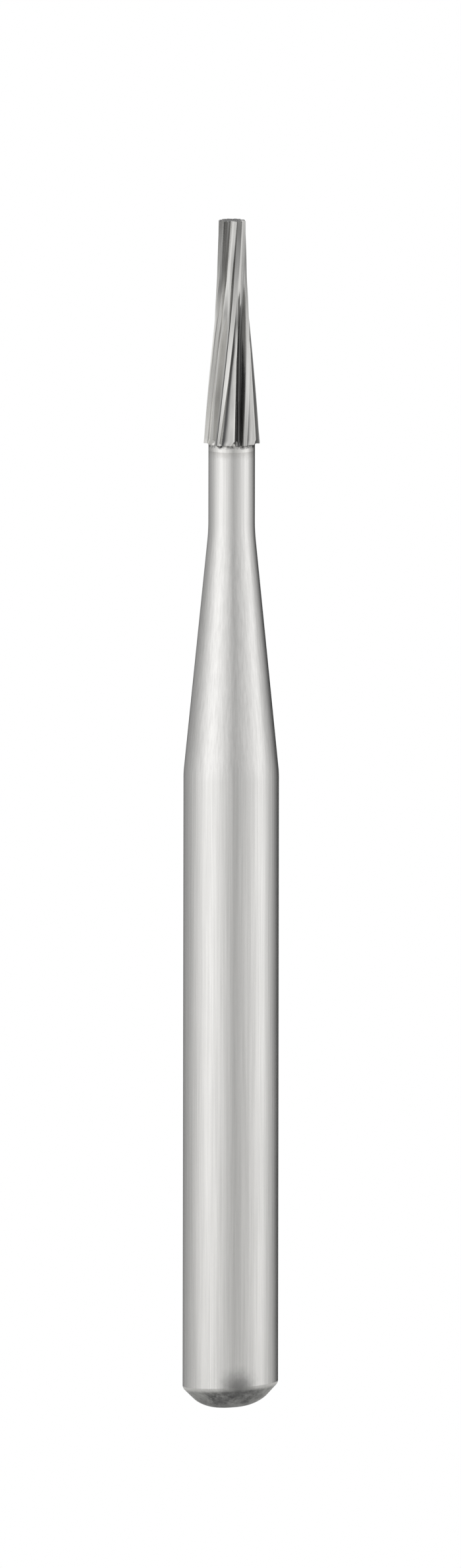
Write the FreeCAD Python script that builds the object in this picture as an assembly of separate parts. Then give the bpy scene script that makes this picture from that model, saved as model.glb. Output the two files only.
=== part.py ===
import FreeCAD, Part
import math
import os

os.makedirs("parts", exist_ok=True)

# Tapered six-blade carbide bur with a friction-grip shank.
# Millimetres and degrees. Z runs up the axis from the shank's end to the tip.

# Overall sizes
overall_length = 20.0
shank_radius = 0.80
neck_radius = 0.39

# Shank: a neck under the head, then a taper down to the plain length
neck_length = 1.36
taper_length = 4.07
shoulder_blend = 1.5
neck_blend = 3.0

# Shank end: ground slightly out of square, with a chamfer and rounded corners
end_skew = 3.4
end_flat_radius = 0.457
end_chamfer_angle = 44.0
end_flat_round = 0.55
end_corner_round = 0.10

# Working head: two cones that meet at a soft knee
head_length = 3.76
head_base_radius = 0.4706
knee_height = 2.78
knee_radius = 0.2495
knee_blend = 4.0
tip_radius = 0.228
tip_edge = 0.014
shoulder_fillet = 0.03

# Carbide stub between the blades and the butt joint with the steel neck
stub_length = 0.12

# Blades: cutting edge, thin groove, narrow margin, step down to a hollow land, ridge
blade_count = 6
helix_angle = 4.87
edge_phase = -37.2
groove_width = 0.034
groove_depth = 0.022
margin_sink = 0.014
margin_width = 0.050
margin_growth = 0.020
margin_width_most = 0.073
step_width = 0.026
step_drop = 0.060
land_hollow = 0.45
land_least = 0.008
ridge_drop = 0.022
ridge_sink_start = 1.5
ridge_sink_end = 2.3

# Gullets: long slope behind the ridge, narrow root, steep rake face up to the next edge
gullet_width_base = 17.0
gullet_width_full = 26.5
gullet_widening_length = 1.4
slope_ratio_base = 0.76
slope_ratio_full = 0.63
slope_deepening_length = 0.8
slope_share = 0.50
root_ratio = 0.56
root_share = 0.93
gullet_round_ratio = 0.06

# Toward the tip the gullets shallow out and the margins lean back to a deeper groove
tip_form_start = 1.6
tip_form_end = 3.2
tip_groove_depth = 0.050
tip_margin_sink = 0.040
tip_slope_ratio = 0.81
tip_root_ratio = 0.95

# Gullet run-out: floor rises to the neck, and the ridge's corner is cut back
run_out_height = 0.08
run_out_depth = 0.05
run_out_clearance = 0.02
corner_cut_back = 13.0

# Room left between the blades' own surface and the blank that trims their ends
trim_room = 0.02
station_count = 16

# Heights that follow from the sizes above
tip_z = overall_length
base_z = tip_z - head_length
knee_z = base_z + knee_height
joint_z = base_z - stub_length
taper_end = joint_z - neck_length
taper_start = taper_end - taper_length
axis = FreeCAD.Vector(0, 0, 1)
origin = FreeCAD.Vector(0, 0, 0)


def unit(a, b):
    """Unit vector from point a to point b, each an (x, y) pair."""
    dx, dy = b[0] - a[0], b[1] - a[1]
    length = math.hypot(dx, dy)
    return dx / length, dy / length


def corner_arc(before, corner, after, radius):
    """Start, middle and end points of an arc that rounds a corner of a flat path."""
    u, v = unit(corner, before), unit(corner, after)
    half = math.acos(max(-1.0, min(1.0, u[0] * v[0] + u[1] * v[1]))) / 2
    reach = radius / math.tan(half)
    start = (corner[0] + u[0] * reach, corner[1] + u[1] * reach)
    end = (corner[0] + v[0] * reach, corner[1] + v[1] * reach)
    w = unit((0, 0), (u[0] + v[0], u[1] + v[1]))
    to_middle = radius / math.sin(half) - radius
    middle = (corner[0] + w[0] * to_middle, corner[1] + w[1] * to_middle)
    return start, middle, end


def revolved(points):
    """Solid of revolution from (radius, height, rounding) points, closed along the axis."""
    place = lambda p: FreeCAD.Vector(p[0], 0, p[1])
    edges = []
    last = points[0][:2]
    for i, (r, z, rounding) in enumerate(points[1:-1], start=1):
        nearest = (r, z)
        if rounding:
            start, middle, nearest = corner_arc(points[i - 1][:2], (r, z), points[i + 1][:2], rounding)
            edges.append(Part.makeLine(place(last), place(start)))
            edges.append(Part.Arc(place(start), place(middle), place(nearest)).toShape())
        else:
            edges.append(Part.makeLine(place(last), place((r, z))))
        last = nearest
    edges.append(Part.makeLine(place(last), place(points[-1][:2])))
    edges.append(Part.makeLine(place(points[-1][:2]), place(points[0][:2])))
    return Part.Face(Part.Wire(edges)).revolve(origin, axis, 360)


def head_radius(z):
    """Radius over the cutting edges at height z, with the knee between the cones rounded."""
    lower = (head_base_radius - knee_radius) / (knee_z - base_z)
    upper = (knee_radius - tip_radius) / (tip_z - knee_z)
    reach = knee_blend * math.tan((math.atan(lower) - math.atan(upper)) / 2)
    if z <= knee_z - reach:
        return knee_radius + lower * (knee_z - z)
    if z >= knee_z + reach:
        return knee_radius - upper * (z - knee_z)
    along = z - (knee_z - reach)
    return knee_radius + lower * (knee_z - z) + along ** 2 * (lower - upper) / (4 * reach)


def edge_angle(z):
    """Angle of a cutting edge at height z: a line of constant helix angle on the head."""
    steps = 60
    total = 0.0
    for i in range(steps):
        total += 1.0 / head_radius(base_z + (z - base_z) * (i + 0.5) / steps)
    turn = math.tan(math.radians(helix_angle)) * total * (z - base_z) / steps
    return math.radians(edge_phase) + turn


def polar(radius, angle):
    """Flat point at an angle measured from the front (-Y) toward the right (+X)."""
    return radius * math.sin(angle), -radius * math.cos(angle)


def eased(share):
    """Share from 0 to 1, held at its ends and eased between them."""
    share = min(1.0, max(0.0, share))
    return share * share * (3 - 2 * share)


def between(first, last, share):
    """Value at a share of the way from first to last."""
    return first + (last - first) * share


def blade_section(z, lift=0.0, cut_back=0.0):
    """Closed wire round all blades at height z; lift raises the gullet floors to run them out."""
    radius = head_radius(z)
    above = max(0.0, z - base_z)
    pitch = 2 * math.pi / blade_count
    widening = min(1.0, above / gullet_widening_length)
    deepening = min(1.0, above / slope_deepening_length)
    sunk = eased((above - ridge_sink_start) / (ridge_sink_end - ridge_sink_start))
    tip_form = eased((above - tip_form_start) / (tip_form_end - tip_form_start))
    # Angles, from one cutting edge to the next
    gullet = math.radians(between(gullet_width_base, gullet_width_full, widening) + cut_back)
    edge = edge_angle(z)
    groove = edge + 0.7 * groove_width / radius
    margin_start = edge + groove_width / radius
    margin_end = margin_start + min(margin_width_most, margin_width + margin_growth * above) / radius
    ridge = edge + pitch - gullet
    foot = min(margin_end + step_width / radius, ridge - land_least / radius)
    # Radii at the same places
    r_margin = max(radius - between(margin_sink, tip_margin_sink, tip_form), lift)
    r_groove = max(radius - between(groove_depth, tip_groove_depth, tip_form), lift)
    r_foot = max(radius - step_drop, lift)
    r_ridge = radius - between(ridge_drop, step_drop, sunk)
    slope_ratio = between(between(slope_ratio_base, slope_ratio_full, deepening), tip_slope_ratio, tip_form)
    r_slope = max(slope_ratio * radius, lift)
    r_root = max(between(root_ratio, tip_root_ratio, tip_form) * radius, lift)
    rounding = gullet_round_ratio * radius
    sag = ((ridge - foot) * radius) ** 2 / (8 * land_hollow)
    edges = []
    for turn in [i * pitch for i in range(blade_count)]:
        place = lambda p: FreeCAD.Vector(p[0], p[1], z)
        foot_at = polar(r_foot, foot + turn)
        ridge_at = polar(r_ridge, ridge + turn)
        slope_at = polar(r_slope, ridge + slope_share * gullet + turn)
        root_at = polar(r_root, ridge + root_share * gullet + turn)
        next_edge = polar(radius, edge + pitch + turn)
        inward = polar(-sag, (foot + ridge) / 2 + turn)
        land_middle = [(a + b) / 2 + c for a, b, c in zip(foot_at, ridge_at, inward)]
        slope = corner_arc(ridge_at, slope_at, root_at, rounding)
        root = corner_arc(slope_at, root_at, next_edge, rounding)
        corners = [
            polar(radius, edge + turn),
            polar(r_groove, groove + turn),
            polar(r_margin, margin_start + turn),
            polar(radius, margin_end + turn),
            foot_at,
        ]
        for start, end in zip(corners, corners[1:]):
            edges.append(Part.makeLine(place(start), place(end)))
        edges.append(Part.Arc(place(foot_at), place(land_middle), place(ridge_at)).toShape())
        edges.append(Part.makeLine(place(ridge_at), place(slope[0])))
        edges.append(Part.Arc(*[place(p) for p in slope]).toShape())
        edges.append(Part.makeLine(place(slope[2]), place(root[0])))
        edges.append(Part.Arc(*[place(p) for p in root]).toShape())
        edges.append(Part.makeLine(place(root[2]), place(next_edge)))
    return Part.Wire(edges)


def end_edges(body):
    """Closed edges round the shank's end, smallest first."""
    rings = [e for e in body.Edges if e.Closed and e.BoundBox.ZMax < taper_start / 2]
    return sorted(rings, key=lambda e: e.BoundBox.XLength)


def shank():
    """Friction-grip shank, taper and neck, with its end ground out of square."""
    rod = revolved([
        (0, -shank_radius, 0),
        (shank_radius, -shank_radius, 0),
        (shank_radius, taper_start, shoulder_blend),
        (neck_radius, taper_end, neck_blend),
        (neck_radius, joint_z, 0),
        (0, joint_z, 0),
    ])
    reach = 2 * shank_radius
    slope = math.tan(math.radians(end_chamfer_angle))
    end_form = revolved([
        (0, 0, 0),
        (end_flat_radius, 0, 0),
        (end_flat_radius + reach, reach / slope, 0),
        (end_flat_radius + reach, overall_length, 0),
        (0, overall_length, 0),
    ])
    end_form.rotate(origin, FreeCAD.Vector(0, 1, 0), -end_skew)
    body = rod.common(end_form)
    body = body.makeFillet(end_flat_round, [end_edges(body)[0]])
    return body.makeFillet(end_corner_round, [end_edges(body)[-1]])


def head():
    """Fluted carbide head with the stub that meets the neck."""
    blank = revolved([
        (0, joint_z, 0),
        (neck_radius, joint_z, 0),
        (neck_radius, base_z, shoulder_fillet),
        (head_base_radius + trim_room, base_z, 0),
        (head_base_radius + trim_room, knee_z, 0),
        (tip_radius + trim_room, tip_z - tip_edge - trim_room, 0),
        (tip_radius - tip_edge, tip_z, 0),
        (0, tip_z, 0),
    ])
    start_z = base_z + run_out_height
    span = tip_z + trim_room - start_z
    heights = [start_z + span * i / (station_count - 1) for i in range(station_count)]
    fluted = Part.makeLoft([blade_section(z) for z in heights], True, False)
    end_z = base_z - run_out_depth
    above_neck = neck_radius + run_out_clearance
    foot = [
        blade_section(joint_z - trim_room, above_neck, corner_cut_back),
        blade_section(end_z, above_neck, corner_cut_back),
        blade_section(start_z),
    ]
    run_out = Part.makeLoft(foot, True, True)
    return blank.common(fluted.fuse(run_out))


head().exportStep("parts/carbide_head.step")
shank().exportStep("parts/steel_shank.step")
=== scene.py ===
"""Tapered six-blade carbide bur with a friction-grip shank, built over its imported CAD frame.

Shapes are modelled in millimetres, with Z up the axis from the shank's end to the tip, and scaled
to metres once at the end of each piece.
"""
import logging
import math
from dataclasses import dataclass, field
from enum import Enum
from typing import Any, Dict, List, Optional, Sequence, Tuple

import bmesh
import bpy
from mathutils import Matrix, Vector


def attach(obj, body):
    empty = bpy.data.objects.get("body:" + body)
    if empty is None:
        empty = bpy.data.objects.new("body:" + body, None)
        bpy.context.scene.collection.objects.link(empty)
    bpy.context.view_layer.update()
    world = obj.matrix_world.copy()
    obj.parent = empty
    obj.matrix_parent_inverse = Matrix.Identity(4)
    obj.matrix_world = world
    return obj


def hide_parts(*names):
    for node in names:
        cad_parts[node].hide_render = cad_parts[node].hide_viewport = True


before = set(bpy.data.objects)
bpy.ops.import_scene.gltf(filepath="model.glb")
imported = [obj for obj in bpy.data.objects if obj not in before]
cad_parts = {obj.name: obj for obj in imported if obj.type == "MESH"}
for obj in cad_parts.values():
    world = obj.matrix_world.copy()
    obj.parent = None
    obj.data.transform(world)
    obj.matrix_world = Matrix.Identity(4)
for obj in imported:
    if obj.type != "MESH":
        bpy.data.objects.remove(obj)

LOG = logging.getLogger("bur")
MM = 0.001

Colour = Tuple[float, float, float, float]

# Sizes that more than one piece or finish uses, in millimetres and degrees
TOOL_LENGTH = 20.0
HEAD_LENGTH = 3.76
STUB_LENGTH = 0.12
SHOULDER_HEIGHT = TOOL_LENGTH - HEAD_LENGTH
JOINT_HEIGHT = SHOULDER_HEIGHT - STUB_LENGTH
NECK_RADIUS = 0.39
END_SKEW_DEG = 3.4


# Small helpers

def from_hex(code: str) -> Colour:
    """Turns an sRGB hex colour into the linear colour that shaders take.

    Args:
        code: Six hex digits, such as "c8c8c4".

    Returns:
        Linear red, green and blue with an alpha of 1.
    """
    parts = [int(code[i:i + 2], 16) / 255 for i in (0, 2, 4)]
    linear = [p / 12.92 if p <= 0.04045 else ((p + 0.055) / 1.055) ** 2.4 for p in parts]
    return (linear[0], linear[1], linear[2], 1.0)


def add_node(
    tree: bpy.types.NodeTree,
    kind: str,
    settings: Optional[Dict[str, Any]] = None,
    links: Optional[Dict[Any, bpy.types.NodeSocket]] = None,
) -> bpy.types.Node:
    """Adds one shader node.

    Args:
        tree: The node tree that gets it.
        kind: The node's type, without its ShaderNode prefix.
        settings: Properties by name, or input values by socket name or number.
        links: Sockets to link from, by this node's input name or number.

    Returns:
        The new node.
    """
    node = tree.nodes.new("ShaderNode" + kind)
    for name, value in (settings or {}).items():
        if isinstance(name, str) and hasattr(node, name):
            setattr(node, name, value)
        else:
            node.inputs[name].default_value = value
    for name, socket in (links or {}).items():
        tree.links.new(socket, node.inputs[name])
    return node


def fill_ramp(node: bpy.types.Node, stops: Sequence[Tuple[float, Colour]], smoothing: str = "LINEAR") -> None:
    """Gives a colour ramp its stops.

    Args:
        node: The ramp node.
        stops: Pairs of a place from 0 to 1 and a colour, in rising order.
        smoothing: The ramp's interpolation.
    """
    ramp = node.color_ramp
    ramp.interpolation = smoothing
    while len(ramp.elements) > 1:
        ramp.elements.remove(ramp.elements[-1])
    ramp.elements[0].position, ramp.elements[0].color = stops[0]
    for place, colour in stops[1:]:
        ramp.elements.new(place).color = colour


def grey(level: float) -> Colour:
    """A neutral linear colour of one level."""
    return (level, level, level, 1.0)


def finish_piece(bm: bmesh.types.BMesh, name: str, sharp_deg: float) -> bpy.types.Object:
    """Turns a bmesh in millimetres into a linked object in metres, with sharp edges marked.

    Args:
        bm: The finished shape. It is freed.
        name: The piece's name.
        sharp_deg: Edges whose faces turn by more than this stay crisp.

    Returns:
        The new object, which sits at the origin.
    """
    bmesh.ops.remove_doubles(bm, verts=bm.verts, dist=1e-5)
    bmesh.ops.recalc_face_normals(bm, faces=bm.faces)
    for face in bm.faces:
        face.smooth = True
    for edge in bm.edges:
        edge.smooth = edge.calc_face_angle(0.0) < math.radians(sharp_deg)
    bmesh.ops.scale(bm, vec=(MM, MM, MM), verts=bm.verts)
    mesh = bpy.data.meshes.new(name)
    bm.to_mesh(mesh)
    bm.free()
    piece = bpy.data.objects.new(name, mesh)
    bpy.context.scene.collection.objects.link(piece)
    return piece


# Finishes

class Slot(Enum):
    """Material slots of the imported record."""

    CARBIDE = "carbide"
    STEEL = "steel"


@dataclass(frozen=True)
class GroundStainless:
    """Hardened stainless steel bar, centreless ground: an even satin grey with faint fine lines."""

    body: str = "e2e1df"
    # The cut end's colours are painted shade, darker than the body because the end reflects dark surroundings
    cut_end: str = "b6b6b4"
    end_dark: str = "626262"
    # Painted shade on the neck under the head
    painted_neck_shade: str = "a9a6a1"
    roughness: float = 0.19
    end_roughness: float = 0.42
    # Real grinding lines are a few thousandths wide: these are drawn coarser, so that they show
    line_mm: float = 0.03
    line_squeeze: float = 0.012
    line_relief_mm: float = 0.002
    cloud_mm: float = 0.9
    grain_mm: float = 0.045
    blotch_mm: float = 0.16
    # Where the painted shade on the neck, the dull end with its painted shade, and its front patch of painted
    # shade lie
    joint_mm: float = JOINT_HEIGHT
    neck_shade_mm: float = 0.22
    rim_mm: float = 0.355
    end_skew_deg: float = END_SKEW_DEG
    # Where the front patch of painted shade lies, and how far it reaches
    front_shade_mm: Tuple[float, float, float] = (0.13, -0.78, 0.40)
    front_shade_reach_mm: float = 0.42

    def build(self) -> bpy.types.Material:
        """Makes the material with its grinding lines, a dull cut end with painted shade, a patch of painted
        shade on its front, and painted shade on the neck under the head.
        """
        material = bpy.data.materials.new("centreless_ground_stainless")
        material.use_nodes = True
        tree = material.node_tree
        tree.nodes.clear()
        place = add_node(tree, "TexCoord").outputs["Object"]
        parts = add_node(tree, "SeparateXYZ", links={0: place})
        height = parts.outputs["Z"]
        # Fine lines that a soft light draws out along the shank
        stretched = add_node(tree, "Mapping", {"Scale": (1.0, 1.0, self.line_squeeze)}, {"Vector": place})
        lines = add_node(
            tree, "TexNoise", {"Scale": 1 / (self.line_mm * MM), "Detail": 3.0, "Roughness": 0.6},
            {"Vector": stretched.outputs[0]})
        clouds = add_node(
            tree, "TexNoise", {"Scale": 1 / (self.cloud_mm * MM), "Detail": 2.0}, {"Vector": place})
        grain = add_node(
            tree, "TexNoise", {"Scale": 1 / (self.grain_mm * MM), "Detail": 5.0, "Roughness": 0.7},
            {"Vector": place})
        blotch = add_node(
            tree, "TexNoise", {"Scale": 1 / (self.blotch_mm * MM), "Detail": 4.0, "Roughness": 0.7},
            {"Vector": place})
        tone = add_node(tree, "MapRange", {"From Min": 0.3, "From Max": 0.7, "To Min": 0.90, "To Max": 1.06},
                        {"Value": lines.outputs["Fac"]})
        body = add_node(
            tree, "Mix", {"data_type": "RGBA", "blend_type": "MULTIPLY", 0: 1.0, 6: from_hex(self.body)},
            {7: tone.outputs[0]})
        # The end, below its tilted rim: duller, with a coarse grain, and darkened with painted shade that
        # stands for the dark surroundings it reflects, lighter towards its sides
        lean = -math.tan(math.radians(self.end_skew_deg))
        level = add_node(
            tree, "Math", {"operation": "MULTIPLY_ADD", 1: lean}, {0: parts.outputs["X"], 2: height})
        end_mask = add_node(
            tree, "MapRange",
            {"interpolation_type": "SMOOTHSTEP", "From Min": (self.rim_mm + 0.02) * MM,
             "From Max": (self.rim_mm - 0.05) * MM}, {"Value": level.outputs[0]})
        coarse = add_node(tree, "Math", {"operation": "MULTIPLY_ADD", 1: 0.5},
                          {0: grain.outputs["Fac"], 2: blotch.outputs["Fac"]})
        mottle = add_node(tree, "MapRange", {"From Min": 0.60, "From Max": 0.95, "To Max": 0.7},
                          {"Value": coarse.outputs[0]})
        # Painted side light: the end is painted lighter towards its left and right
        sideways = add_node(tree, "Math", {"operation": "ABSOLUTE"}, {0: parts.outputs["X"]})
        painted_side_light = add_node(tree, "MapRange", {"From Min": 0.25 * MM, "From Max": 0.75 * MM, "To Max": 0.6},
                         {"Value": sideways.outputs[0]})
        grain_and_side_light = add_node(tree, "Math", {"operation": "ADD", "use_clamp": True},
                        {0: mottle.outputs[0], 1: painted_side_light.outputs[0]})
        end = add_node(
            tree, "Mix", {"data_type": "RGBA", 6: from_hex(self.end_dark), 7: from_hex(self.cut_end)},
            {0: grain_and_side_light.outputs[0]})
        ended = add_node(tree, "Mix", {"data_type": "RGBA"},
                         {0: end_mask.outputs[0], 6: body.outputs[2], 7: end.outputs[2]})
        # Painted shade: a ragged dark patch on the front of the rim
        centre = tuple(value * MM for value in self.front_shade_mm)
        away = add_node(tree, "VectorMath", {"operation": "DISTANCE", 1: centre}, {0: place})
        ragged = add_node(tree, "Math", {"operation": "MULTIPLY_ADD", 1: 0.5 * self.front_shade_reach_mm * MM},
                          {0: blotch.outputs["Fac"], 2: away.outputs["Value"]})
        front_shade = add_node(
            tree, "MapRange",
            {"interpolation_type": "SMOOTHSTEP", "From Min": 1.25 * self.front_shade_reach_mm * MM,
             "From Max": 0.25 * self.front_shade_reach_mm * MM, "To Max": 0.75}, {"Value": ragged.outputs[0]})
        front_shaded = add_node(tree, "Mix", {"data_type": "RGBA", 7: from_hex(self.end_dark)},
                           {0: front_shade.outputs[0], 6: ended.outputs[2]})
        # Painted shade on the top of the neck, darkening towards the head above the brazed joint
        wander = add_node(tree, "Math", {"operation": "MULTIPLY_ADD", 1: self.neck_shade_mm * MM},
                          {0: blotch.outputs["Fac"], 2: height})
        neck_shade = add_node(
            tree, "MapRange",
            {"From Min": (self.joint_mm - 0.02) * MM, "From Max": (self.joint_mm + self.neck_shade_mm) * MM,
             "To Max": 0.8}, {"Value": wander.outputs[0]})
        neck_shaded = add_node(tree, "Mix", {"data_type": "RGBA", 7: from_hex(self.painted_neck_shade)},
                           {0: neck_shade.outputs[0], 6: front_shaded.outputs[2]})
        # Roughness and relief
        rough = add_node(tree, "MapRange", {"To Min": self.roughness, "To Max": self.end_roughness},
                         {"Value": end_mask.outputs[0]})
        mottled = add_node(tree, "Math", {"operation": "MULTIPLY_ADD", 1: 0.06},
                           {0: clouds.outputs["Fac"], 2: rough.outputs[0]})
        relief = add_node(tree, "Mix", {"data_type": "FLOAT"},
                          {0: end_mask.outputs[0], 2: lines.outputs["Fac"], 3: grain.outputs["Fac"]})
        bump = add_node(
            tree, "Bump", {"Strength": 0.15, "Distance": self.line_relief_mm * MM},
            {"Height": relief.outputs[0]})
        shader = add_node(
            tree, "BsdfPrincipled", {"Metallic": 1.0},
            {"Base Color": neck_shaded.outputs[2], "Roughness": mottled.outputs[0], "Normal": bump.outputs[0]})
        add_node(tree, "OutputMaterial", links={"Surface": shader.outputs[0]})
        return material


@dataclass(frozen=True)
class SinteredCarbide:
    """Cobalt-bound tungsten carbide, wheel ground: a darker grey than steel, with lines along each flute, and
    painted shade in its gullets and under its shoulder.
    """

    land: str = "e1e0dd"
    # Painted shade: the gullet colour stands for the shade deep between the blades
    gullet: str = "646464"
    # Colour of the painted shade in the corner under the shoulder
    painted_shade: str = "4c4b4c"
    roughness: float = 0.17
    # Wheel lines, drawn coarser than real ones, so that they show
    line_mm: float = 0.018
    line_squeeze: float = 0.03
    line_relief_mm: float = 0.002
    grain_mm: float = 0.02
    blotch_mm: float = 0.11
    shoulder_mm: float = SHOULDER_HEIGHT
    # Height of the painted shade under the shoulder
    shoulder_shade_mm: float = 0.05

    def build(self) -> bpy.types.Material:
        """Makes the material, which follows the blades through the head's own map and its level of painted
        shade.
        """
        material = bpy.data.materials.new("ground_tungsten_carbide")
        material.use_nodes = True
        tree = material.node_tree
        tree.nodes.clear()
        along = add_node(tree, "UVMap", {"uv_map": "blade_lines"}).outputs[0]
        # Level of painted shade at each point, from the head's own attribute
        shade_level = add_node(tree, "Attribute", {"attribute_name": "blade_painted_shade"}).outputs["Fac"]
        place = add_node(tree, "TexCoord").outputs["Object"]
        height = add_node(tree, "SeparateXYZ", links={0: place}).outputs["Z"]
        # The map is in millimetres, around the head and along its blades
        stretched = add_node(tree, "Mapping", {"Scale": (1.0, self.line_squeeze, 1.0)}, {"Vector": along})
        lines = add_node(tree, "TexNoise", {"Scale": 1 / self.line_mm, "Detail": 3.0, "Roughness": 0.6},
                         {"Vector": stretched.outputs[0]})
        grain = add_node(
            tree, "TexNoise", {"Scale": 1 / (self.grain_mm * MM), "Detail": 2.0}, {"Vector": place})
        base = add_node(
            tree, "Mix", {"data_type": "RGBA", 6: from_hex(self.land), 7: from_hex(self.gullet)}, {0: shade_level})
        # Where the painted shade is heavier, the wheel lines also dip darker
        swing = add_node(tree, "MapRange", {"To Min": 0.10, "To Max": 0.34}, {"Value": shade_level})
        least = add_node(tree, "Math", {"operation": "SUBTRACT", 0: 1.0}, {1: swing.outputs[0]})
        tone = add_node(tree, "MapRange", {"From Min": 0.3, "From Max": 0.7, "To Max": 1.06},
                        {"Value": lines.outputs["Fac"], "To Min": least.outputs[0]})
        toned = add_node(tree, "Mix", {"data_type": "RGBA", "blend_type": "MULTIPLY", 0: 1.0},
                         {6: base.outputs[2], 7: tone.outputs[0]})
        # Painted shade in the corner under the shoulder, in blotchy patches
        blotch = add_node(
            tree, "TexNoise", {"Scale": 1 / (self.blotch_mm * MM), "Detail": 4.0, "Roughness": 0.7},
            {"Vector": place})
        wander = add_node(tree, "Math", {"operation": "MULTIPLY_ADD", 1: self.shoulder_shade_mm * MM},
                          {0: blotch.outputs["Fac"], 2: height})
        above = add_node(
            tree, "MapRange",
            {"From Min": (self.shoulder_mm - self.shoulder_shade_mm) * MM,
             "From Max": (self.shoulder_mm - 0.2 * self.shoulder_shade_mm) * MM}, {"Value": wander.outputs[0]})
        below = add_node(
            tree, "Math", {"operation": "LESS_THAN", 1: (self.shoulder_mm - 0.001) * MM}, {0: height})
        shade_patches = add_node(tree, "MapRange", {"From Min": 0.42, "From Max": 0.60, "To Min": 0.1},
                           {"Value": blotch.outputs["Fac"]})
        under = add_node(tree, "Math", {"operation": "MULTIPLY"}, {0: above.outputs[0], 1: below.outputs[0]})
        shoulder_shade_mask = add_node(
            tree, "Math", {"operation": "MULTIPLY"}, {0: under.outputs[0], 1: shade_patches.outputs[0]})
        shoulder_shaded = add_node(tree, "Mix", {"data_type": "RGBA", 7: from_hex(self.painted_shade)},
                           {0: shoulder_shade_mask.outputs[0], 6: toned.outputs[2]})
        rough = add_node(tree, "Math", {"operation": "MULTIPLY_ADD", 1: 0.08, 2: self.roughness - 0.04},
                         {0: grain.outputs["Fac"]})
        bump = add_node(
            tree, "Bump", {"Strength": 0.25, "Distance": self.line_relief_mm * MM},
            {"Height": lines.outputs["Fac"]})
        shader = add_node(
            tree, "BsdfPrincipled", {"Metallic": 1.0},
            {"Base Color": shoulder_shaded.outputs[2], "Roughness": rough.outputs[0], "Normal": bump.outputs[0]})
        add_node(tree, "OutputMaterial", links={"Surface": shader.outputs[0]})
        return material


@dataclass(frozen=True)
class PaleBoard:
    """Matt white laminate board: a pale floor with no gloss."""

    colour: str = "f4f4f2"
    fleck_mm: float = 1.5

    def build(self) -> bpy.types.Material:
        """Makes the floor's material, with a faint fleck like that of real board."""
        material = bpy.data.materials.new("matt_white_board")
        material.use_nodes = True
        tree = material.node_tree
        tree.nodes.clear()
        place = add_node(tree, "TexCoord").outputs["Object"]
        fleck = add_node(tree, "TexNoise", {"Scale": 1 / (self.fleck_mm * MM)}, {"Vector": place})
        tone = add_node(tree, "MapRange", {"To Min": 0.985, "To Max": 1.0}, {"Value": fleck.outputs["Fac"]})
        colour = add_node(
            tree, "Mix", {"data_type": "RGBA", "blend_type": "MULTIPLY", 0: 1.0, 6: from_hex(self.colour)},
            {7: tone.outputs[0]})
        shader = add_node(tree, "BsdfPrincipled", {"Roughness": 0.8}, {"Base Color": colour.outputs[2]})
        add_node(tree, "OutputMaterial", links={"Surface": shader.outputs[0]})
        return material


# Pieces

@dataclass
class Shank:
    """Neck, taper and plain friction-grip shank, with an end ground out of square."""

    radius: float = 0.80
    neck_radius: float = NECK_RADIUS
    joint: float = JOINT_HEIGHT
    neck_length: float = 1.36
    taper_length: float = 4.07
    shoulder_blend: float = 1.5
    neck_blend: float = 3.0
    end_flat_radius: float = 0.457
    end_chamfer_deg: float = 44.0
    end_flat_round: float = 0.55
    end_corner_round: float = 0.10
    end_skew_deg: float = END_SKEW_DEG
    steps: int = 192
    finish: GroundStainless = field(default_factory=GroundStainless)

    def outline(self) -> List[Tuple[float, float, float]]:
        """Corners of the half outline.

        Returns:
            Radius, height and rounding of each corner, from the end's centre to the joint's.
        """
        taper_end = self.joint - self.neck_length
        rim = (self.radius - self.end_flat_radius) / math.tan(math.radians(self.end_chamfer_deg))
        return [
            (0.0, 0.0, 0.0),
            (self.end_flat_radius, 0.0, self.end_flat_round),
            (self.radius, rim, self.end_corner_round),
            (self.radius, taper_end - self.taper_length, self.shoulder_blend),
            (self.neck_radius, taper_end, self.neck_blend),
            (self.neck_radius, self.joint, 0.0),
            (0.0, self.joint, 0.0),
        ]

    def build(self) -> bpy.types.Object:
        """Spins the outline, tilts its end and dresses the piece."""
        bm = bmesh.new()
        corners = self.outline()
        verts = [bm.verts.new((r, 0.0, z)) for r, z, _ in corners]
        for a, b in zip(verts, verts[1:]):
            bm.edges.new((a, b))
        for vert, before, here, after in zip(verts[1:], corners, corners[1:], corners[2:]):
            if here[2]:
                self.round_corner(bm, vert, before, here, after)
        bmesh.ops.spin(
            bm, geom=bm.verts[:] + bm.edges[:], cent=(0, 0, 0), axis=(0, 0, 1), angle=2 * math.pi,
            steps=self.steps, use_merge=True)
        slope = math.tan(math.radians(self.end_skew_deg))
        for vert in bm.verts:
            if vert.co.z < self.radius:
                vert.co.z += vert.co.x * slope
        piece = finish_piece(bm, "satin_steel_shank", 40.0)
        piece.data.materials.append(self.finish.build())
        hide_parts("steel_shank")
        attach(piece, "root")
        return piece

    @staticmethod
    def round_corner(bm: bmesh.types.BMesh, vert: bmesh.types.BMVert, before: Sequence[float],
                     here: Sequence[float], after: Sequence[float]) -> None:
        """Rounds one corner of the outline with a bevel that touches both its sides.

        Args:
            bm: The outline's bmesh.
            vert: The corner.
            before: The corner before it.
            here: This corner, whose third value is the rounding's radius.
            after: The corner after it.
        """
        u = Vector((here[0] - before[0], here[1] - before[1])).normalized()
        v = Vector((after[0] - here[0], after[1] - here[1])).normalized()
        reach = here[2] * math.tan(u.angle(v) / 2)
        bmesh.ops.bevel(
            bm, geom=[vert], offset=reach, offset_type="OFFSET", segments=12, profile=0.5,
            affect="VERTICES", material=-1)


@dataclass
class BladeRing:
    """Cross-section of the blades at one height: points round the axis, and the painted shade at each."""

    points: List[Vector]
    painted_shade: List[float]


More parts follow.
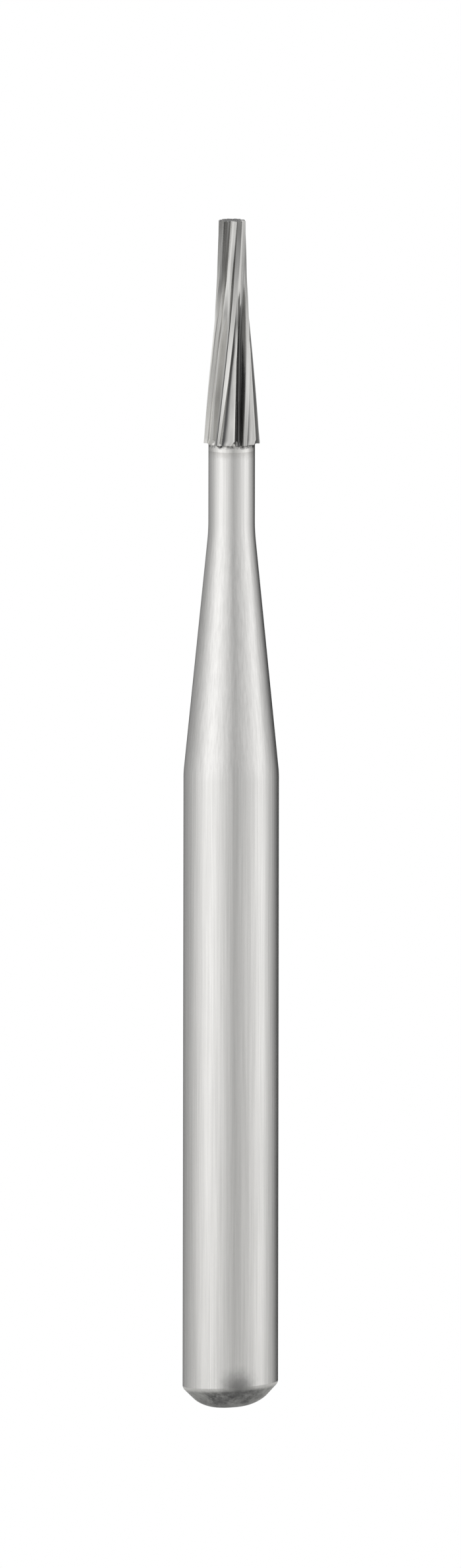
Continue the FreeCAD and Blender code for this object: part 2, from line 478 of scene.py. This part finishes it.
@dataclass
class FlutedHead:
    """Tapered head with six right-hand helical blades, run out on a short stub."""

    length: float = HEAD_LENGTH
    tip: float = TOOL_LENGTH
    base_radius: float = 0.4706
    knee_height: float = 2.78
    knee_radius: float = 0.2495
    knee_blend: float = 4.0
    tip_radius: float = 0.228
    tip_edge: float = 0.014
    neck_radius: float = NECK_RADIUS
    shoulder_fillet: float = 0.03
    stub: float = STUB_LENGTH
    stub_row_height: float = 0.03
    blades: int = 6
    helix_deg: float = 4.87
    edge_phase_deg: float = -37.2
    groove_width: float = 0.034
    groove_depth: float = 0.022
    margin_sink: float = 0.014
    margin_width: float = 0.050
    margin_growth: float = 0.020
    margin_width_most: float = 0.073
    step_width: float = 0.026
    step_drop: float = 0.060
    land_hollow: float = 0.45
    land_least: float = 0.008
    ridge_drop: float = 0.022
    ridge_sink_start: float = 1.5
    ridge_sink_end: float = 2.3
    gullet_base_deg: float = 17.0
    gullet_full_deg: float = 26.5
    gullet_widening: float = 1.4
    slope_base_ratio: float = 0.76
    slope_full_ratio: float = 0.63
    slope_deepening: float = 0.8
    slope_share: float = 0.50
    root_ratio: float = 0.56
    root_share: float = 0.93
    gullet_round_ratio: float = 0.06
    tip_form_start: float = 1.6
    tip_form_end: float = 3.2
    tip_groove_depth: float = 0.050
    tip_margin_sink: float = 0.040
    tip_slope_ratio: float = 0.81
    tip_root_ratio: float = 0.95
    run_out_height: float = 0.08
    run_out_depth: float = 0.05
    run_out_clearance: float = 0.02
    corner_cut_back_deg: float = 13.0
    trim_room: float = 0.02
    row_height: float = 0.02
    # Painted shade at the points of one blade, from 0 to 1, darkest deep in the gullets
    painted_shade: Tuple[float, ...] = (
        (0.3, 0.5, 0.9, 0.4)  # cutting edge and groove
        + (0.2, 0.2)  # margin
        + (0.1, 0.0, 0.1)  # step
        + (1.0, 1.0, 0.7, 0.5, 0.42, 0.4, 0.4, 0.35)  # hollow land, darkest under the step
        + (0.1, 0.1, 0.1, 0.1)  # ridge and upper slope
        + (0.1, 0.15, 0.2, 0.25, 0.3, 0.35)  # bend of the slope
        + (0.45, 0.55)  # lower slope
        + (0.7, 0.8, 0.9, 0.9, 0.9, 0.9)  # root
        + (0.9, 0.85, 0.75)  # rake face
    )
    # The same at the tip, where the gullets are shallow
    tip_painted_shade: Tuple[float, ...] = (
        (0.55,) * 9  # cutting edge to step
        + (0.25,) * 18  # land to bend of the slope
        + (0.4,) * 11  # lower slope to rake face
    )
    # Painted shade on the tip's cut face and on the points cut back by it
    tip_face_shade: float = 0.85
    # Share of the painted shade that each blade holds below the tip: the one left of the front, where more
    # light falls, is painted lightest
    shade_share: Tuple[float, ...] = (1.0, 1.0, 1.0, 1.0, 1.0, 0.4)
    finish: SinteredCarbide = field(default_factory=SinteredCarbide)

    @property
    def base(self) -> float:
        """Height of the shoulder under the blades."""
        return self.tip - self.length

    def radius_at(self, z: float) -> float:
        """Radius over the cutting edges at height z, with the knee between the two cones rounded."""
        knee = self.base + self.knee_height
        lower = (self.base_radius - self.knee_radius) / self.knee_height
        upper = (self.knee_radius - self.tip_radius) / (self.tip - knee)
        reach = self.knee_blend * math.tan((math.atan(lower) - math.atan(upper)) / 2)
        if z <= knee - reach:
            return self.knee_radius + lower * (knee - z)
        if z >= knee + reach:
            return self.knee_radius - upper * (z - knee)
        along = z - (knee - reach)
        return self.knee_radius + lower * (knee - z) + along ** 2 * (lower - upper) / (4 * reach)

    def edge_angle(self, z: float) -> float:
        """Angle in radians of the first cutting edge at height z, on a line of constant helix angle."""
        steps = 60
        step = (z - self.base) / steps
        total = sum(step / self.radius_at(self.base + step * (i + 0.5)) for i in range(steps))
        return math.radians(self.edge_phase_deg) + math.tan(math.radians(self.helix_deg)) * total

    def section(self, z: float, lift: float = 0.0, cut_back: float = 0.0) -> BladeRing:
        """Works out the blades' cross-section at one height.

        Args:
            z: The height.
            lift: Least radius of the gullet floors.
            cut_back: Degrees by which each ridge behind a land stands back.

        Returns:
            Points in order round the axis, with how much painted shade each holds, from 0 to 1.
        """
        radius = self.radius_at(z)
        above = max(0.0, z - self.base)
        pitch = 2 * math.pi / self.blades
        widening = min(1.0, above / self.gullet_widening)
        deepening = min(1.0, above / self.slope_deepening)
        sunk = self.eased((above - self.ridge_sink_start) / (self.ridge_sink_end - self.ridge_sink_start))
        tip_form = self.eased((above - self.tip_form_start) / (self.tip_form_end - self.tip_form_start))
        # Angles, from one cutting edge to the next
        gullet = math.radians(self.between(self.gullet_base_deg, self.gullet_full_deg, widening) + cut_back)
        edge = self.edge_angle(z)
        groove = edge + 0.7 * self.groove_width / radius
        margin_start = edge + self.groove_width / radius
        margin = min(self.margin_width_most, self.margin_width + self.margin_growth * above)
        margin_end = margin_start + margin / radius
        ridge = edge + pitch - gullet
        foot = min(margin_end + self.step_width / radius, ridge - self.land_least / radius)
        # Radii at the same places
        r_margin = max(radius - self.between(self.margin_sink, self.tip_margin_sink, tip_form), lift)
        r_groove = max(radius - self.between(self.groove_depth, self.tip_groove_depth, tip_form), lift)
        r_foot = max(radius - self.step_drop, lift)
        r_ridge = radius - self.between(self.ridge_drop, self.step_drop, sunk)
        slope_ratio = self.between(self.slope_base_ratio, self.slope_full_ratio, deepening)
        r_slope = max(self.between(slope_ratio, self.tip_slope_ratio, tip_form) * radius, lift)
        r_root = max(self.between(self.root_ratio, self.tip_root_ratio, tip_form) * radius, lift)
        rounding = self.gullet_round_ratio * radius
        sag = ((ridge - foot) * radius) ** 2 / (8 * self.land_hollow)
        points: List[Vector] = []
        painted_shade: List[float] = []
        for blade in range(self.blades):
            turn = blade * pitch
            # Painted shade, lighter on the blade where more light falls
            shade_share = self.between(self.shade_share[blade], 1.0, tip_form)
            edge_at = self.polar(radius, edge + turn, z)
            groove_at = self.polar(r_groove, groove + turn, z)
            margin_at = self.polar(r_margin, margin_start + turn, z)
            step_at = self.polar(radius, margin_end + turn, z)
            foot_at = self.polar(r_foot, foot + turn, z)
            ridge_at = self.polar(r_ridge, ridge + turn, z)
            slope_at = self.polar(r_slope, ridge + self.slope_share * gullet + turn, z)
            root_at = self.polar(r_root, ridge + self.root_share * gullet + turn, z)
            next_edge = self.polar(radius, edge + pitch + turn, z)
            inward = self.polar(-sag, (foot + ridge) / 2 + turn, 0.0)
            slope = self.fillet(ridge_at, slope_at, root_at, rounding, 5)
            root = self.fillet(slope_at, root_at, next_edge, rounding, 5)
            points += [edge_at, edge_at.lerp(groove_at, 0.5), groove_at, groove_at.lerp(margin_at, 0.5)]
            points += [margin_at, margin_at.lerp(step_at, 0.5)]
            points += [step_at.lerp(foot_at, share) for share in (0.0, 0.5, 0.9)]
            points += [foot_at.lerp(ridge_at, k / 8) + inward * (k / 2 * (1 - k / 8)) for k in range(8)]
            points += [ridge_at.lerp(slope[0], k / 4) for k in range(4)]
            points += slope
            points += [slope[-1].lerp(root[0], k / 3) for k in (1, 2)]
            points += root
            points += [root[-1].lerp(next_edge, share) for share in (0.4, 0.75, 0.93)]
            # Painted shade of each point, eased from the blade's levels to the tip's
            painted_shade += [shade_share * self.between(low, high, tip_form)
                      for low, high in zip(self.painted_shade, self.tip_painted_shade)]
        return BladeRing(points, painted_shade)

    @staticmethod
    def between(first: float, last: float, share: float) -> float:
        """Value at a share of the way from first to last."""
        return first + (last - first) * share

    @staticmethod
    def eased(share: float) -> float:
        """Share from 0 to 1, held at its ends and eased between them."""
        share = min(1.0, max(0.0, share))
        return share * share * (3 - 2 * share)

    @staticmethod
    def polar(radius: float, angle: float, z: float) -> Vector:
        """Point at an angle measured from the front (-Y) toward the right (+X)."""
        return Vector((radius * math.sin(angle), -radius * math.cos(angle), z))

    @staticmethod
    def fillet(before: Vector, corner: Vector, after: Vector, radius: float, steps: int) -> List[Vector]:
        """Points along an arc that rounds a corner between two straight sides.

        Args:
            before: A point on the first side.
            corner: Where the sides meet.
            after: A point on the second side.
            radius: The arc's radius.
            steps: How many pieces the arc is divided into.

        Returns:
            The arc's points, one more than steps.
        """
        u, v = (before - corner).normalized(), (after - corner).normalized()
        half = u.angle(v) / 2
        reach = radius / math.tan(half)
        centre = corner + (u + v).normalized() * (radius / math.sin(half))
        start, end = corner + u * reach - centre, corner + v * reach - centre
        sweep = start.angle(end)
        shares = [k / steps for k in range(steps + 1)]
        return [centre + (start * math.sin((1 - s) * sweep) + end * math.sin(s * sweep)) / math.sin(sweep)
                for s in shares]

    def limit(self, z: float, above_shoulder: bool) -> float:
        """Largest radius that the blank leaves at height z: tip edge, or neck and fillet."""
        if above_shoulder:
            trimmed = z > self.tip - self.tip_edge - self.trim_room
            return self.tip_radius - self.tip_edge + (self.tip - z) if trimmed else math.inf
        fillet = self.shoulder_fillet
        into = max(0.0, z - (self.base - fillet))
        return self.neck_radius + fillet - math.sqrt(max(0.0, fillet ** 2 - into ** 2))

    def ring(self, z: float, above_shoulder: bool) -> BladeRing:
        """Cross-section at height z, trimmed by the blank.

        Args:
            z: The height.
            above_shoulder: Whether the blades stand proud of the neck here.

        Returns:
            The trimmed section.
        """
        foot, top = self.base - self.run_out_depth, self.base + self.run_out_height
        if z >= top:
            made = self.section(z)
        else:
            low = self.section(foot, self.neck_radius + self.run_out_clearance, self.corner_cut_back_deg)
            high = self.section(top)
            share = max(0.0, (z - foot) / (top - foot))
            made = BladeRing([a.lerp(b, share) for a, b in zip(low.points, high.points)],
                             [self.between(a, b, share) for a, b in zip(low.painted_shade, high.painted_shade)])
        most = self.limit(z, above_shoulder)
        # Points cut back by the blank take the tip face's painted shade
        trimmed_shade = self.tip_face_shade if above_shoulder else 0.0
        points, painted_shade = [], []
        for point, level in zip(made.points, made.painted_shade):
            share = min(1.0, most / math.hypot(point.x, point.y))
            points.append(Vector((point.x * share, point.y * share, z)))
            painted_shade.append(level if share == 1.0 else trimmed_shade)
        return BladeRing(points, painted_shade)

    def heights(self) -> List[Tuple[float, bool]]:
        """Heights of all the rows, each with whether the blades stand proud of the neck there."""
        # Rows stand closer together at the run-out and at the tip's edge
        joint = self.base - self.stub
        below = [joint, joint + self.stub_row_height, self.base - self.run_out_depth]
        below += [self.base - self.shoulder_fillet * (1 - math.sin(k * math.pi / 12)) for k in range(7)]
        start = self.base + self.run_out_height
        end = self.tip - self.tip_edge * 2.5
        above = [self.base + self.run_out_height * k / 8 for k in range(8)]
        rows = round((end - start) / self.row_height)
        above += [start + (end - start) * k / rows for k in range(rows + 1)]
        above += [self.tip - self.tip_edge * k / 2 for k in (4, 3, 2, 1, 0)]
        return [(z, False) for z in below] + [(z, True) for z in above]

    def build(self) -> bpy.types.Object:
        """Wraps a grid round the axis, row by row, closes both ends and dresses the piece."""
        rows = [self.ring(z, proud) for z, proud in self.heights()]
        count = len(rows[0].points)
        bm = bmesh.new()
        bmesh.ops.create_grid(bm, x_segments=count, y_segments=len(rows) - 1, size=0.5)
        lines = bm.loops.layers.uv.new("blade_lines")
        painted_shade = bm.verts.layers.float.new("blade_painted_shade")
        places: Dict[bmesh.types.BMVert, Tuple[int, int]] = {}
        for vert in bm.verts:
            places[vert] = (round((vert.co.x + 0.5) * count), round((vert.co.y + 0.5) * (len(rows) - 1)))
        middle = rows[len(rows) // 2].points
        around = [0.0]
        for here, following in zip(middle, middle[1:] + middle[:1]):
            around.append(around[-1] + (following - here).length)
        for face in bm.faces:
            for loop in face.loops:
                column, row = places[loop.vert]
                loop[lines].uv = (around[column], rows[row].points[0].z)
        for vert, (column, row) in places.items():
            vert.co = rows[row].points[column % count]
            # Each point's painted shade goes into the head's attribute
            vert[painted_shade] = rows[row].painted_shade[column % count]
        bmesh.ops.remove_doubles(bm, verts=bm.verts, dist=1e-5)
        open_edges = [edge for edge in bm.edges if edge.is_boundary]
        caps = bmesh.ops.holes_fill(bm, edges=open_edges, sides=0)["faces"]
        for vert in bmesh.ops.poke(bm, faces=caps)["verts"]:
            vert[painted_shade] = self.tip_face_shade
        piece = finish_piece(bm, "fluted_carbide_head", 24.0)
        piece.data.materials.append(self.finish.build())
        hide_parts("carbide_head")
        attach(piece, "root")
        return piece


# Studio

@dataclass
class Studio:
    """Pale floor, soft light tent and the camera at the photograph's viewing angle."""

    floor_drop: float = 30.0
    floor_radius: float = 180.0
    view_elevation_deg: float = 7.0
    view_roll_deg: float = 0.085
    frame_height: float = 26.25
    aim_x: float = -0.012
    aim_z: float = 10.488
    camera_distance: float = 300.0
    backdrop_half_deg: float = 4.0
    backdrop_side_blur_deg: float = 2.0
    backdrop_top_deg: float = 5.5
    backdrop_top_blur_deg: float = 1.0
    brightest: float = 1.8
    # Light from each direction round the tool: degrees to the right of the camera, and level
    panels: Tuple[Tuple[float, float], ...] = (
        (-180, 0.04), (-165, 0.18), (-150, 0.34), (-130, 0.42), (-112, 0.52), (-95, 0.74), (-75, 1.00),
        (-58, 1.30), (-38, 1.14), (-20, 0.92), (0, 0.62), (10, 0.46), (20, 0.62), (40, 0.76),
        (62, 1.00), (82, 1.25), (98, 0.72), (118, 0.50), (135, 0.22), (150, 0.06), (180, 0.04),
    )
    floor_finish: PaleBoard = field(default_factory=PaleBoard)

    def floor(self) -> bpy.types.Object:
        """Round board well below the tool."""
        bm = bmesh.new()
        bmesh.ops.create_circle(bm, cap_ends=True, segments=96, radius=self.floor_radius)
        bmesh.ops.translate(bm, vec=(0, 0, -self.floor_drop), verts=bm.verts)
        board = finish_piece(bm, "floor_board", 180.0)
        board.data.materials.append(self.floor_finish.build())
        return board

    def tent(self) -> None:
        """Light tent: white panels left front and right, dark gaps beside a white backdrop.

        The camera sees the backdrop in every direction. Metal sees it where it stands, behind the tool
        and up to its top edge, and the panels everywhere else.
        """
        world = bpy.data.worlds.new("light_tent")
        bpy.context.scene.world = world
        world.use_nodes = True
        tree = world.node_tree
        tree.nodes.clear()
        way = add_node(tree, "TexCoord").outputs["Generated"]
        parts = add_node(tree, "SeparateXYZ", links={0: way})
        back = add_node(tree, "Math", {"operation": "MULTIPLY", 1: -1.0}, {0: parts.outputs["Y"]})
        angle = add_node(tree, "Math", {"operation": "ARCTAN2"}, {0: parts.outputs["X"], 1: back.outputs[0]})
        turn = add_node(
            tree, "MapRange", {"From Min": -math.pi, "From Max": math.pi}, {"Value": angle.outputs[0]})
        levels = add_node(tree, "ValToRGB", links={0: turn.outputs[0]})
        stops = [((degrees + 180) / 360, grey(level / self.brightest)) for degrees, level in self.panels]
        fill_ramp(levels, stops, "B_SPLINE")
        panels = add_node(tree, "Background", {"Strength": self.brightest}, {"Color": levels.outputs[0]})
        backdrop = add_node(tree, "Background", {"Color": grey(1.0), "Strength": 1.0})
        # The backdrop's side edges, as angles from straight behind the tool, and its top edge
        side, side_blur = 180 - self.backdrop_half_deg, self.backdrop_side_blur_deg
        aside = add_node(tree, "Math", {"operation": "ABSOLUTE"}, {0: angle.outputs[0]})
        behind = add_node(
            tree, "MapRange",
            {"interpolation_type": "SMOOTHSTEP", "From Min": math.radians(side - side_blur),
             "From Max": math.radians(side + side_blur)}, {"Value": aside.outputs[0]})
        ray = add_node(tree, "LightPath").outputs
        mirrored = add_node(tree, "Math", {"operation": "MAXIMUM"},
                            {0: ray["Is Glossy Ray"], 1: ray["Is Transmission Ray"]})
        top, top_blur = self.backdrop_top_deg, self.backdrop_top_blur_deg
        under_top = add_node(
            tree, "MapRange",
            {"interpolation_type": "SMOOTHSTEP", "From Min": math.sin(math.radians(top + top_blur)),
             "From Max": math.sin(math.radians(top - top_blur))}, {"Value": parts.outputs["Z"]})
        standing = add_node(
            tree, "Math", {"operation": "MULTIPLY"}, {0: behind.outputs[0], 1: under_top.outputs[0]})
        seen = add_node(
            tree, "Math", {"operation": "MULTIPLY"}, {0: mirrored.outputs[0], 1: standing.outputs[0]})
        shown = add_node(
            tree, "Math", {"operation": "MAXIMUM"}, {0: ray["Is Camera Ray"], 1: seen.outputs[0]})
        mixed = add_node(
            tree, "MixShader", links={0: shown.outputs[0], 1: panels.outputs[0], 2: backdrop.outputs[0]})
        add_node(tree, "OutputWorld", links={"Surface": mixed.outputs[0]})

    def camera(self) -> None:
        """Long-lens view of the photograph, drawn without perspective because none shows."""
        data = bpy.data.cameras.new("photo_camera")
        data.type = "ORTHO"
        data.ortho_scale = self.frame_height * MM
        data.clip_start, data.clip_end = 0.01, 2.0
        camera = bpy.data.objects.new("photo_camera", data)
        bpy.context.scene.collection.objects.link(camera)
        tilt = math.radians(self.view_elevation_deg)
        aim = Vector((self.aim_x, 0.0, self.aim_z))
        back = Vector((0.0, -math.cos(tilt), math.sin(tilt)))
        roll = Matrix.Rotation(math.radians(self.view_roll_deg), 3, "Z")
        turn = (-back).to_track_quat("-Z", "Y").to_matrix() @ roll
        camera.matrix_world = Matrix.Translation((aim + back * self.camera_distance) * MM) @ turn.to_4x4()
        bpy.context.scene.camera = camera

    def build(self) -> None:
        """Sets the whole studio."""
        self.floor()
        self.tent()
        self.camera()
        bpy.context.scene.view_settings.view_transform = "Standard"


def main() -> None:
    """Builds the pieces in order, then the studio."""
    logging.basicConfig(level=logging.INFO, format="%(name)s: %(message)s")
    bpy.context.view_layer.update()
    for part in (Shank(), FlutedHead()):
        piece = part.build()
        LOG.info("%s: %d faces", piece.name, len(piece.data.polygons))
    Studio().build()
    LOG.info("studio set")


if __name__ == "__main__":
    main()
